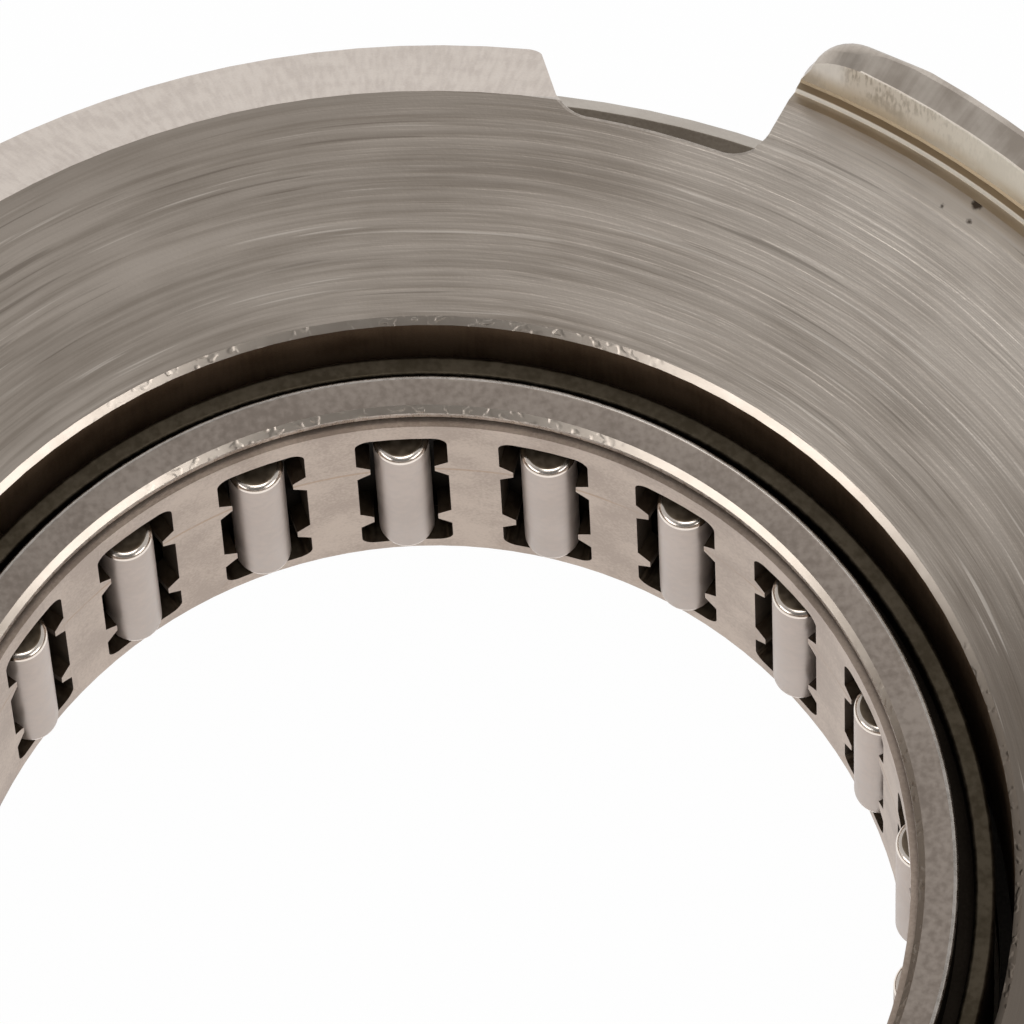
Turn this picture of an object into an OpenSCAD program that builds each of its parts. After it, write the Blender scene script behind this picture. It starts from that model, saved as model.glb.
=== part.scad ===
// Combined bearing: a thrust plate on radial rollers, around a drawn-cup needle bearing.
// Millimetres, +Z up the shaft axis, origin on the axis in the plane the lower race rests on.

/* [Needle bearing] */
// Circle left clear for the shaft inside the needles
shaft_d = 50; // [40:1:60]
// Needle diameter
needle_d = 3; // [2:0.1:4]
// Needle length over its rounded ends
needle_len = 12.7; // [8:0.1:12.8]
// Rounding of the needle ends
needle_round = 0.42; // [0.2:0.02:0.9]
// Length of the drawn cup, which is also the height of the turned face
cup_len = 20; // [19:0.5:26]
// Sheet thickness of the drawn cup
cup_wall = 0.85; // [0.6:0.05:1]
// How far the cup's neck stands in from its outside, and the sheet thickness there
neck_in = 0.83; // [0.5:0.01:0.9]
neck_wall = 0.8; // [0.6:0.05:0.85]
// Length of the neck, from its shoulder to the lip's face
neck_len = 3.6; // [3:0.1:3.9]
// Rounding round the outside of the lip's face
neck_edge = 0.35; // [0.1:0.05:0.5]
// How far the cup's lips reach in past the raceway
lip_reach = 2.08; // [1.5:0.02:2.3]
// Edge break inside the cup's lips
lip_break = 0.35; // [0.1:0.05:0.5]
// How far the needles stand in from the cage's bore
needle_proud = 0.55; // [0.3:0.05:0.8]
// Radial thickness of the cage bars
bar_t = 1.45; // [1:0.05:1.6]
// Height of the cage's upper and lower rims
rim_h = 1.75; // [1.2:0.05:2.4]
foot_h = 1; // [0.8:0.05:1.4]
// Share of the lower rim's height that is turned out towards the cup
foot_turn = 0.6; // [0.3:0.05:0.8]
// Half the height of a retaining nib, at its tip and at its foot
nib_tip = 0.35; // [0.2:0.05:0.5]
nib_foot = 0.95; // [0.6:0.05:1.2]
// Where the lower and upper nibs lie, as shares of the pocket's height
nib_low = 0.23; // [0.15:0.01:0.3]
nib_high = 0.705; // [0.65:0.005:0.82]

/* [Thrust race] */
// Outside diameter of the lower race
race_d = 104.3; // [102:0.1:110]
// Thickness of the lower race
race_h = 2.5; // [2:0.1:3]
// Wall of the collar that stands up inside the plate
collar_wall = 1.12; // [0.9:0.01:1.4]
// How far the collar's end lies under the turned face
collar_drop = 2.2; // [1:0.1:5]
// Edge break on the race's rim, below and above
race_break = 0.45; // [0.2:0.05:0.8]
race_bevel = 0.95; // [0.3:0.05:1.2]
// Edge break on the collar's end
collar_break = 0.15; // [0.05:0.05:0.3]

/* [Thrust rollers] */
// Diameter of the rollers under the plate
roller_d = 4; // [3:0.1:4.5]
// Length of the rollers
roller_len = 9; // [7:0.1:11]
// Radius of the circle through the middle of the rollers
roller_pitch_r = 41; // [39.5:0.1:42]
// Edge break on the roller ends
roller_break = 0.35; // [0.1:0.05:0.6]
// Thickness of the roller cage
web_h = 2.4; // [1.8:0.1:2.6]
// Width of the cage's rims, and how far they stand proud of it
web_rim = 1.2; // [0.8:0.1:1.6]
web_rim_proud = 0.35; // [0.2:0.05:0.4]
// Cage left outside the roller pockets
web_out = 1.9; // [1.6:0.1:3]

/* [Thrust plate] */
// Outside diameter of the plate
plate_d = 102.6; // [101:0.2:108]
// Gap between the collar and the plate's bore
plate_gap = 1; // [0.5:0.05:1.2]
// Edge break under the plate, at its bore and rim
plate_break = 0.5; // [0.2:0.1:0.8]
// Edge break at the turned face's bore
bore_break = 0.38; // [0.2:0.02:0.8]
// Radius where the turned face ends on the bevelled sectors
face_r = 44.3; // [43.9:0.1:46]
// Drop of the bevel, from the turned face to the rim
bevel_drop = 10.3; // [6:0.1:11]
// Height of the lips above the turned face
lip_h = 4; // [2:0.1:5]
// Width of a lip at its foot
lip_w = 2.2; // [1.8:0.1:3]
// Lean of a lip's inner wall
lip_lean = 0.2; // [0.05:0.05:0.4]
// Edge break round the outside of a lip
lip_edge = 0.45; // [0.3:0.05:1]
// Rounding over a lip's ends
lip_end = 3.7; // [2:0.1:3.8]
// Width of the relief groove at a lip's foot
relief_w = 1.35; // [0.8:0.05:1.6]
// Depth of the relief groove
relief_d = 0.35; // [0.1:0.05:0.6]
// Radius of a notch's floor
notch_r = 43.7; // [42.5:0.1:43.8]
// Half the width of a notch at its floor
notch_half = 5.46; // [4:0.02:6]
// Lean of a notch's side at the lug, and at the bevelled sector
lug_lean = 12.3; // [5:0.1:20]
bevel_lean = 25.5; // [15:0.5:30]
// Fillet at the foot of a notch's sides
notch_fillet = 2.2; // [1:0.1:2.6]
// Rounded corner of a lip and of a bevelled sector beside a notch
lip_corner = 2.3; // [1:0.1:4.6]
bevel_corner = 1; // [0.3:0.1:1.4]
// Where the first notch lies round the axis
notch_at = 70.2; // [0:0.1:119]

/* [Clearances] */
// Running clearance between a roller and its raceway
run_clear = 0.03; // [0.02:0.01:0.08]
// Clearance of a needle beside its retaining nibs
nib_clear = 0.22; // [0.12:0.02:0.3]
// Width of a needle pocket beside the needle, each side
pocket_side = 0.95; // [0.7:0.05:1]
// Axial clearance of the needle cage inside the lips
cage_clear = 0.4; // [0.15:0.05:0.5]
// Clearance of the needle cage's lower rim inside the raceway
rim_clear = 0.4; // [0.3:0.05:0.6]
// Clearance of a needle above the lower end of its pocket
seat_clear = 0.12; // [0.05:0.01:0.3]
// Clearance of a thrust roller in its pocket, each side
web_clear = 0.1; // [0.06:0.02:0.2]
// Clearance of the roller cage round the collar
pilot_clear = 0.3; // [0.2:0.05:0.5]

/* [Hidden] */
$fn = 96;
needle_count = 21;
needle_at = 123.9;
roller_count = 18;
sector_count = 6;
sector = 360 / sector_count;
needle_pitch_r = shaft_d / 2 + needle_d / 2;
raceway_r = needle_pitch_r + needle_d / 2 + run_clear;
cup_r = raceway_r + cup_wall;
neck_r = cup_r - neck_in;
neck_bore_r = neck_r - neck_wall;
lip_r = raceway_r - lip_reach;
cage_r = shaft_d / 2 + needle_proud;
cage_out_r = raceway_r - rim_clear;
cage_low = cup_wall + cage_clear;
cage_high = cup_len - cup_wall - cage_clear;
pocket_low = cage_low + foot_h;
pocket_high = cage_high - rim_h;
pocket_half = needle_d / 2 + pocket_side;
nib_half = needle_d / 2 + nib_clear;
needle_low = pocket_low + seat_clear;
collar_r = cup_r + collar_wall;
face_z = cup_len;
collar_top = face_z - collar_drop;
roller_z = race_h + run_clear + roller_d / 2;
plate_low = race_h + 2 * run_clear + roller_d;
web_in_r = collar_r + pilot_clear;
web_out_r = roller_pitch_r + roller_len / 2 + web_clear + web_out;
plate_r = plate_d / 2;
plate_bore_r = collar_r + plate_gap;
lip_foot_r = plate_r - lip_w;
lip_top_z = face_z + lip_h;
lap = 0.01;

// A pin on the Z axis from z = 0, with both end edges rounded
module rounded_pin(d, h, q) {
  rotate_extrude()
    intersection() {
      square([d, h]);
      union() {
        square([d / 2 - q, h]);
        translate([0, q]) square([d / 2, h - 2 * q]);
        translate([d / 2 - q, q]) circle(q);
        translate([d / 2 - q, h - q]) circle(q);
      }
    }
}

module needle_roller(i) {
  color([0.74, 0.71, 0.68])
    rotate([0, 0, needle_at - (i - 1) * 360 / needle_count])
      translate([needle_pitch_r, 0, needle_low])
        rounded_pin(needle_d, needle_len, needle_round);
}

// The cup's lower half in section, seen upside down: a plain wall and a lip
module cup_end() {
  difference() {
    union() {
      translate([raceway_r, 0]) square([cup_wall, cup_len / 2]);
      translate([lip_r, cup_len / 2 - cup_wall]) square([lip_reach + cup_wall, cup_wall]);
    }
    difference() {
      translate([raceway_r, cup_len / 2 - cup_wall]) square([2 * cup_wall, 2 * cup_wall]);
      translate([raceway_r, cup_len / 2 - cup_wall]) circle(cup_wall);
    }
    translate([lip_r, cup_len / 2])
      rotate(45)
        square(lip_break * sqrt(2), center = true);
  }
}

// The cup's upper half in section: a neck that clears the cage, and the lip turned in over it
module cup_neck() {
  top = cup_len / 2;
  low = top - neck_len;
  difference() {
    union() {
      translate([raceway_r, 0]) square([cup_wall, low]);
      translate([neck_bore_r, low - neck_wall]) square([cup_r - neck_bore_r, neck_wall]);
      translate([neck_bore_r, low - neck_wall]) square([neck_wall, neck_len + neck_wall]);
      translate([lip_r, top - cup_wall]) square([neck_r - lip_r, cup_wall]);
    }
    difference() {
      translate([neck_r - neck_edge, top - neck_edge]) square(2 * neck_edge);
      translate([neck_r - neck_edge, top - neck_edge]) circle(neck_edge);
    }
    translate([lip_r, top])
      rotate(45)
        square(lip_break * sqrt(2), center = true);
  }
}

module needle_cup() {
  color([0.55, 0.53, 0.51])
    translate([0, 0, cup_len / 2])
      rotate_extrude()
        union() {
          cup_neck();
          mirror([0, 1]) cup_end();
        }
}

// One pocket seen from the axis: rounded corners, two nibs on each side
module pocket_outline() {
  q = pocket_side * 0.85;
  h = pocket_high - pocket_low;
  nib = pocket_half - nib_half;
  difference() {
    union() {
      translate([-pocket_half + q, 0]) square([2 * (pocket_half - q), h]);
      translate([-pocket_half, q]) square([2 * pocket_half, h - 2 * q]);
      for (x = [-1, 1])
        for (y = [q, h - q])
          translate([x * (pocket_half - q), y]) circle(q);
    }
    for (x = [-1, 1])
      for (y = [nib_low, nib_high])
        translate([x * pocket_half, y * h])
          polygon([
            [-x * nib, -nib_tip],
            [-x * nib, nib_tip],
            [0, nib_foot],
            [x * nib, nib_foot],
            [x * nib, -nib_foot],
            [0, -nib_foot]
          ]);
  }
}

module needle_cage() {
  color([0.68, 0.63, 0.58])
    difference() {
      translate([0, 0, cage_low])
        rotate_extrude()
          union() {
            translate([cage_r, 0]) square([bar_t, cage_high - cage_low]);
            translate([cage_r, 0]) square([cage_out_r - cage_r, foot_h * foot_turn]);
          }
      for (i = [0 : needle_count - 1])
        rotate([0, 0, needle_at - i * 360 / needle_count])
          translate([cage_r - 1, 0, pocket_low])
            rotate([90, 0, 90])
              linear_extrude(bar_t + 2)
                pocket_outline();
    }
}

module lower_race() {
  color([0.42, 0.4, 0.38])
    rotate_extrude()
      polygon([
        [cup_r, 0],
        [race_d / 2 - race_break, 0],
        [race_d / 2, race_break],
        [race_d / 2, race_h - race_bevel],
        [race_d / 2 - race_bevel, race_h],
        [collar_r, race_h],
        [collar_r, collar_top - collar_break],
        [collar_r - collar_break, collar_top],
        [cup_r + collar_break, collar_top],
        [cup_r, collar_top - collar_break]
      ]);
}

module thrust_roller(i) {
  color([0.7, 0.69, 0.67])
    rotate([0, 0, (i - 1) * 360 / roller_count])
      translate([roller_pitch_r - roller_len / 2, 0, roller_z])
        rotate([0, 90, 0])
          rounded_pin(roller_d, roller_len, roller_break);
}

module thrust_cage() {
  pocket_len = roller_len + 2 * web_clear;
  pocket_w = roller_d + 2 * web_clear;
  rim = web_h + 2 * web_rim_proud;
  color([0.6, 0.56, 0.5])
    difference() {
      rotate_extrude()
        union() {
          translate([web_in_r, roller_z - web_h / 2])
            square([web_out_r - web_in_r, web_h]);
          translate([web_in_r, roller_z - rim / 2]) square([web_rim, rim]);
          translate([web_out_r - web_rim, roller_z - rim / 2]) square([web_rim, rim]);
        }
      for (i = [0 : roller_count - 1])
        rotate([0, 0, i * 360 / roller_count])
          translate([roller_pitch_r - pocket_len / 2, -pocket_w / 2, race_h])
            cube([pocket_len, pocket_w, roller_d]);
    }
}

// Section of the plate with its lip, before the sectors and notches are cut
module plate_section() {
  step_w = relief_w / 10;
  step_d = relief_d * 0.4;
  polygon([
    [plate_bore_r + plate_break, plate_low],
    [plate_r - plate_break, plate_low],
    [plate_r, plate_low + plate_break],
    [plate_r, lip_top_z - lip_edge],
    [plate_r - lip_edge, lip_top_z],
    [lip_foot_r + lip_lean, lip_top_z],
    [lip_foot_r, face_z],
    [lip_foot_r - step_w, face_z - step_d],
    [lip_foot_r - relief_w / 2 + step_w, face_z - step_d],
    [lip_foot_r - relief_w / 2, face_z - relief_d],
    [lip_foot_r - relief_w, face_z],
    [plate_bore_r + bore_break, face_z],
    [plate_bore_r, face_z - bore_break],
    [plate_bore_r, plate_low + plate_break]
  ]);
}

// What the bevel takes off, in section
module bevel_section() {
  run = plate_r - face_r;
  over = run / bevel_drop;
  polygon([
    [face_r - over, face_z + 1],
    [face_r + 2 * run, face_z - 2 * bevel_drop],
    [face_r + 2 * run, lip_top_z + 1],
    [face_r - over, lip_top_z + 1]
  ]);
}

// A corner's waste: the rounded corner of radius q beside a notch, on side s with that lean
module corner_waste(q, s, lean) {
  ca = cos(lean);
  sa = sin(lean);
  bx = notch_r - q * sa;
  by = notch_half + q * ca;
  half_b = bx * ca + by * sa;
  run = -half_b + sqrt(half_b * half_b - bx * bx - by * by + (plate_r - q) * (plate_r - q));
  cx = bx + run * ca;
  cy = by + run * sa;
  grow = (plate_r + 1) / (plate_r - q);
  difference() {
    polygon([
      [cx + (q + 1) * sa, s * (cy - (q + 1) * ca)],
      [cx + (q + 1) * sa + (2 * q + 2) * ca, s * (cy - (q + 1) * ca + (2 * q + 2) * sa)],
      [cx * grow, s * cy * grow],
      [cx, s * cy]
    ]);
    translate([cx, s * cy]) circle(q + lap);
  }
}

// Middle of the fillet between a notch's floor and its side s of that lean
function fillet_at(s, lean) =
  let (
    bx = notch_r + notch_fillet * sin(lean),
    by = notch_half - notch_fillet * cos(lean),
    half_b = bx * cos(lean) + by * sin(lean),
    reach = notch_r + notch_fillet,
    run = -half_b + sqrt(half_b * half_b - bx * bx - by * by + reach * reach)
  )
  [bx + run * cos(lean), s * (by + run * sin(lean))];

// One notch from above, on the X axis, with the lip on side s; its floor is round the shaft axis
module notch_outline(s) {
  f = notch_fillet;
  far = plate_r - notch_r + 6;
  lug_in = fillet_at(s, lug_lean);
  bevel_in = fillet_at(-s, bevel_lean);
  past_rim = (plate_r + 6) / (notch_r + f);
  union() {
    difference() {
      polygon([[0, 0], past_rim * lug_in, past_rim * bevel_in]);
      circle(notch_r);
    }
    polygon([
      lug_in,
      lug_in + f * [-sin(lug_lean), s * cos(lug_lean)],
      [notch_r + far * cos(lug_lean), s * (notch_half + far * sin(lug_lean))],
      [notch_r + far * cos(bevel_lean), -s * (notch_half + far * sin(bevel_lean))],
      bevel_in + f * [-sin(bevel_lean), -s * cos(bevel_lean)],
      bevel_in
    ]);
    translate(lug_in) circle(f + lap);
    translate(bevel_in) circle(f + lap);
    corner_waste(lip_corner, s, lug_lean);
    corner_waste(bevel_corner, -s, bevel_lean);
  }
}

// Rounds a lip over at its end beside a notch, on side s
module lip_end_waste(s) {
  q = lip_end;
  translate([notch_r, s * notch_half, lip_top_z - q])
    rotate([0, 0, s * lug_lean])
      rotate([90, 0, 90])
        linear_extrude(14)
          difference() {
            translate([s > 0 ? -3 : -q, 0]) square([q + 3, q + 3]);
            translate([s * q, 0]) circle(q + lap);
          }
}

module thrust_plate() {
  color([0.55, 0.52, 0.48])
    difference() {
      rotate_extrude() plate_section();
      for (i = [0 : 2 : sector_count - 1])
        rotate([0, 0, notch_at + i * sector])
          rotate_extrude(angle = sector) bevel_section();
      for (i = [0 : sector_count - 1]) {
        s = i % 2 == 0 ? -1 : 1;
        rotate([0, 0, notch_at + i * sector]) {
          translate([0, 0, plate_low - 1])
            linear_extrude(lip_top_z - plate_low + 2)
              notch_outline(s);
          lip_end_waste(s);
        }
      }
    }
}

thrust_plate();
lower_race();
thrust_cage();
needle_cup();
needle_cage();
thrust_roller(1);  // thrust_roller_01
thrust_roller(2);  // thrust_roller_02
thrust_roller(3);  // thrust_roller_03
thrust_roller(4);  // thrust_roller_04
thrust_roller(5);  // thrust_roller_05
thrust_roller(6);  // thrust_roller_06
thrust_roller(7);  // thrust_roller_07
thrust_roller(8);  // thrust_roller_08
thrust_roller(9);  // thrust_roller_09
thrust_roller(10);  // thrust_roller_10
thrust_roller(11);  // thrust_roller_11
thrust_roller(12);  // thrust_roller_12
thrust_roller(13);  // thrust_roller_13
thrust_roller(14);  // thrust_roller_14
thrust_roller(15);  // thrust_roller_15
thrust_roller(16);  // thrust_roller_16
thrust_roller(17);  // thrust_roller_17
thrust_roller(18);  // thrust_roller_18
needle_roller(1);  // needle_01
needle_roller(2);  // needle_02
needle_roller(3);  // needle_03
needle_roller(4);  // needle_04
needle_roller(5);  // needle_05
needle_roller(6);  // needle_06
needle_roller(7);  // needle_07
needle_roller(8);  // needle_08
needle_roller(9);  // needle_09
needle_roller(10);  // needle_10
needle_roller(11);  // needle_11
needle_roller(12);  // needle_12
needle_roller(13);  // needle_13
needle_roller(14);  // needle_14
needle_roller(15);  // needle_15
needle_roller(16);  // needle_16
needle_roller(17);  // needle_17
needle_roller(18);  // needle_18
needle_roller(19);  // needle_19
needle_roller(20);  // needle_20
needle_roller(21);  // needle_21
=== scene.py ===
# %% [markdown]
# # A combined thrust and needle bearing, dressed for its photograph
# The CAD model is already packed, so every piece has its place and its joint.
# This lesson sets up the photograph's camera and a studio, then gives each
# piece broken edges and a metal finish. Blender works in metres, as the frame
# does, so a size in mm is multiplied by MM.

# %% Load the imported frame
import math

import bpy
from mathutils import Matrix, Vector


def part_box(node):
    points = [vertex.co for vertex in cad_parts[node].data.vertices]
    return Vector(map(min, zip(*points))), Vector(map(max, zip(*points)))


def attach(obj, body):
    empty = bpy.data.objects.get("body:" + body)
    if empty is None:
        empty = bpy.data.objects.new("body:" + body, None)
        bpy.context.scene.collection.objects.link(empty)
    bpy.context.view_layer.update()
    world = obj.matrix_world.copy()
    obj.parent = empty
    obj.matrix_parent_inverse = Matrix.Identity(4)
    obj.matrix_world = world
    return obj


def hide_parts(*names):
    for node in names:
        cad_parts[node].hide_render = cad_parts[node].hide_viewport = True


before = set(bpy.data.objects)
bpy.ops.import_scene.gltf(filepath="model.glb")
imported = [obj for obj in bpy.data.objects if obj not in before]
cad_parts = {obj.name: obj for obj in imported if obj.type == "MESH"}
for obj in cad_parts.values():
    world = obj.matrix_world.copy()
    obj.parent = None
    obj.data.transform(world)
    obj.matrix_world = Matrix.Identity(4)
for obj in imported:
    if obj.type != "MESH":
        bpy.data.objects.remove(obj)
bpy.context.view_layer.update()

MM = 0.001
scene = bpy.context.scene
scene.view_settings.view_transform = "Standard"

# %% [markdown]
# ## The camera
# The rings in the photograph are circles of known size, so a camera could be
# fitted to their ellipses: a long lens, high over the near side, rolled a
# little. A long lens keeps the ellipses nearly true, which a wide one would
# not. The picture is square, and the lens follows from the focal length.

# %% Place the camera
picture_px = 1024
sensor_mm = 36.0
focal_px = 15114.0
camera_elevation = math.radians(68.757)
camera_roll = math.radians(-3.499)
camera_distance = 0.8
camera_aim = Vector((5.857, 21.038, 17.0)) * MM

look = Vector((0, math.cos(camera_elevation), -math.sin(camera_elevation)))
level = Vector((1, 0, 0))
upright = level.cross(look)
roll_cos, roll_sin = math.cos(camera_roll), math.sin(camera_roll)
camera_right = roll_cos * level + roll_sin * upright
camera_up = roll_cos * upright - roll_sin * level
camera_data = bpy.data.cameras.new("photo_camera")
camera_data.sensor_width = sensor_mm
camera_data.lens = focal_px * sensor_mm / picture_px
camera = bpy.data.objects.new("photo_camera", camera_data)
scene.collection.objects.link(camera)
camera.matrix_world = Matrix.Translation(camera_aim - look * camera_distance) @ Matrix(
    (camera_right, camera_up, -look)).transposed().to_4x4()
scene.camera = camera
print("camera: lens %.0f mm at %.2f m" % (camera_data.lens, camera_distance))

# %% [markdown]
# ## Building node trees
# A finish is a small network of nodes. It could be wired by hand in the
# shader editor. In a script, one helper adds a node, sets its options and
# fills its inputs with a value or a link, so that each network reads as a
# list of steps.

# %% A helper for nodes
def step(tree, kind, inputs=None, **options):
    """Adds a node; each input gets a value, or a link if a socket is given."""
    made = tree.nodes.new(kind)
    for option, value in options.items():
        setattr(made, option, value)
    for key, value in (inputs or {}).items():
        if isinstance(value, bpy.types.NodeSocket):
            tree.links.new(value, made.inputs[key])
        else:
            made.inputs[key].default_value = value
    return made


print("node helper ready")

# %% Helpers for values
def maths(tree, operation, first, second=0.0, clamp=False):
    """One Math node, and its result."""
    made = step(tree, "ShaderNodeMath", {0: first, 1: second},
                operation=operation, use_clamp=clamp)
    return made.outputs[0]


def remap(tree, value, low, high, to_low=0.0, to_high=1.0):
    """Maps a value from one range to another, smoothly and clamped."""
    made = step(tree, "ShaderNodeMapRange",
                {"Value": value, "From Min": low, "From Max": high,
                 "To Min": to_low, "To Max": to_high}, interpolation_type="SMOOTHSTEP")
    return made.outputs["Result"]


def weigh(tree, first, second, share):
    """A share of the first value and the rest of the second."""
    return maths(tree, "ADD", maths(tree, "MULTIPLY", first, share),
                 maths(tree, "MULTIPLY", second, 1 - share))


print("value helpers ready")

# %% Helpers for colours
def blend_colour(tree, share, first, second):
    """Mixes two colours by a share from 0 to 1."""
    made = step(tree, "ShaderNodeMix", data_type="RGBA")
    for key, value in (("Factor_Float", share), ("A_Color", first), ("B_Color", second)):
        socket = next(s for s in made.inputs if s.identifier == key)
        if isinstance(value, bpy.types.NodeSocket):
            tree.links.new(value, socket)
        else:
            socket.default_value = value
    return next(s for s in made.outputs if s.identifier == "Result_Color")


def tint(tree, colour, mask, most, towards):
    """Moves a colour towards another where a mask is 1, by a share at most."""
    return blend_colour(tree, maths(tree, "MULTIPLY", mask, most), colour, towards)


def srgb(red, green, blue):
    """A colour as it looks on screen, 0 to 255, made linear for Blender."""
    def linear(level_255):
        share = level_255 / 255
        return share / 12.92 if share <= 0.04045 else ((share + 0.055) / 1.055) ** 2.4
    return (linear(red), linear(green), linear(blue), 1.0)


print("colour helpers ready")

# %% [markdown]
# ## The studio
# Polished metal shows its surroundings, so the studio matters as much as the
# finish. The floor and the low horizon are white and the space overhead is a
# mid grey, which is what makes the flat faces darker than the bevel that
# looks back at the floor. The side behind the camera is darker still. Two
# soft boxes stand left and right of the camera: the chamfers at the bores show
# one on each side, with a dark gap between. Two more, overhead and at the
# back, light the faces that look up.

# %% World: white at the horizon, grey overhead
horizon_level, overhead_level, camera_side_level = 1.0, 0.47, 0.3
horizon_end, overhead_start = 0.05, 0.34
behind_camera, beside_camera = -0.9, -0.1
dark_start, dark_full = 0.06, 0.2
world = bpy.data.worlds.new("studio")
scene.world = world
world.use_nodes = True
sky = world.node_tree
sky.nodes.clear()
way = step(sky, "ShaderNodeTexCoord").outputs["Generated"]
parts = step(sky, "ShaderNodeSeparateXYZ", {0: way})
height_level = remap(sky, parts.outputs["Z"], horizon_end, overhead_start,
                     horizon_level, overhead_level)
camera_side = remap(sky, parts.outputs["Y"], behind_camera, beside_camera,
                    camera_side_level, 1.0)
side_share = remap(sky, parts.outputs["Z"], dark_start, dark_full)
side_level = maths(sky, "ADD", 1.0, maths(
    sky, "MULTIPLY", side_share, maths(sky, "SUBTRACT", camera_side, 1.0)))
sky_level = maths(sky, "MULTIPLY", height_level, side_level)
backdrop = step(sky, "ShaderNodeBackground", {"Color": (1, 1, 1, 1), "Strength": sky_level})
step(sky, "ShaderNodeOutputWorld", {"Surface": backdrop.outputs[0]})
print("world: %.2f at the horizon, %.2f overhead" % (horizon_level, overhead_level))

# %% Floor: white to the eye and to the metal, with a soft shadow
floor_radius, floor_drop, floor_sides = 3.0, 0.00005, 96
floor_white, paper_grey = 0.985, 0.86
bpy.ops.object.select_all(action="DESELECT")
bpy.ops.mesh.primitive_circle_add(
    vertices=floor_sides, radius=floor_radius, fill_type="NGON", location=(0, 0, -floor_drop))
floor = bpy.context.object
floor.name = "studio_floor"
paper = bpy.data.materials.new("floor_paper")
paper.use_nodes = True
tree = paper.node_tree
tree.nodes.clear()
seen = step(tree, "ShaderNodeLightPath")
direct = maths(tree, "MAXIMUM", seen.outputs["Is Camera Ray"], maths(
    tree, "MAXIMUM", seen.outputs["Is Glossy Ray"], seen.outputs["Is Transmission Ray"]))
white_share = maths(tree, "MULTIPLY", direct, floor_white)
matt = step(tree, "ShaderNodeBsdfDiffuse", {"Color": (paper_grey, paper_grey, paper_grey, 1)})
glow = step(tree, "ShaderNodeEmission", {"Color": (1, 1, 1, 1), "Strength": 1.0})
mixed = step(tree, "ShaderNodeMixShader",
             {0: white_share, 1: matt.outputs[0], 2: glow.outputs[0]})
step(tree, "ShaderNodeOutputMaterial", {"Surface": mixed.outputs[0]})
floor.data.materials.append(paper)
print("floor: radius %.1f m" % floor_radius)

# %% Soft boxes
bearing_middle = Vector((0, 0, 0.015))


def soft_box(name, place, size, level_wanted):
    """A rectangular lamp that faces the bearing; level is its brightness to the eye."""
    data = bpy.data.lights.new(name, "AREA")
    data.shape = "RECTANGLE"
    data.size, data.size_y = size
    data.energy = level_wanted * math.pi * size[0] * size[1]
    lamp = bpy.data.objects.new(name, data)
    scene.collection.objects.link(lamp)
    lamp.location = place
    aim = bearing_middle - Vector(place)
    lamp.rotation_euler = aim.to_track_quat("-Z", "Y").to_euler()
    print("lamp %s: %.2f W" % (name, data.energy))


soft_box("left_box", (-0.46, -0.34, 0.19), (0.40, 0.24), 2.1)
soft_box("right_box", (0.43, -0.38, 0.19), (0.36, 0.24), 2.2)
soft_box("top_box", (0.05, -0.24, 0.74), (0.40, 0.30), 2.4)
soft_box("back_box", (0.20, 0.54, 0.56), (0.16, 0.30), 2.6)

# %% [markdown]
# ## Shared effects
# Everything here is turned, ground or drawn round one axis, so most marks
# follow a circle or a line along the axis. These groups give a point's radius
# and height, which side of the ring it lies on, lathe lines, streaks along
# the axis, fine grain and soft patches. A group is built once, and each finish
# uses it with its own values, which is easier to change than many copies.

# %% Group: radius, height and direction round the shaft axis
def new_group(name, inputs, outputs):
    """An empty node group with named inputs (with a start value) and outputs."""
    group = bpy.data.node_groups.new(name, "ShaderNodeTree")
    for title, kind, start in inputs:
        socket = group.interface.new_socket(title, in_out="INPUT", socket_type=kind)
        if start is not None:
            socket.default_value = start
    for title, kind in outputs:
        group.interface.new_socket(title, in_out="OUTPUT", socket_type=kind)
    return group, group.nodes.new("NodeGroupInput"), group.nodes.new("NodeGroupOutput")


FLOAT, VECTOR = "NodeSocketFloat", "NodeSocketVector"
axis_group, given, result = new_group(
    "round the axis", [("Place", VECTOR, None)],
    [("Radius mm", FLOAT), ("Height mm", FLOAT), ("Round", VECTOR)])
place_mm = step(axis_group, "ShaderNodeVectorMath",
                {0: given.outputs["Place"], "Scale": 1 / MM}, operation="SCALE").outputs[0]
xyz = step(axis_group, "ShaderNodeSeparateXYZ", {0: place_mm})
flat = step(axis_group, "ShaderNodeCombineXYZ",
            {"X": xyz.outputs["X"], "Y": xyz.outputs["Y"]}).outputs[0]
radius_out = step(axis_group, "ShaderNodeVectorMath", {0: flat}, operation="LENGTH")
round_out = step(axis_group, "ShaderNodeVectorMath", {0: flat}, operation="NORMALIZE")
axis_group.links.new(radius_out.outputs["Value"], result.inputs["Radius mm"])
axis_group.links.new(xyz.outputs["Z"], result.inputs["Height mm"])
axis_group.links.new(round_out.outputs[0], result.inputs["Round"])
print("group:", axis_group.name)

# %% Group: one side of a ring
side_group, given, result = new_group(
    "one side of a ring",
    [("Round", VECTOR, None), ("Towards", VECTOR, None), ("Fades from", FLOAT, 0.0),
     ("Full at", FLOAT, 1.0)], [("Share", FLOAT)])
alike = step(side_group, "ShaderNodeVectorMath", {
    0: given.outputs["Round"], 1: given.outputs["Towards"]}, operation="DOT_PRODUCT")
side_group.links.new(remap(side_group, alike.outputs["Value"], given.outputs["Fades from"],
                           given.outputs["Full at"]), result.inputs["Share"])
print("group:", side_group.name)

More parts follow.
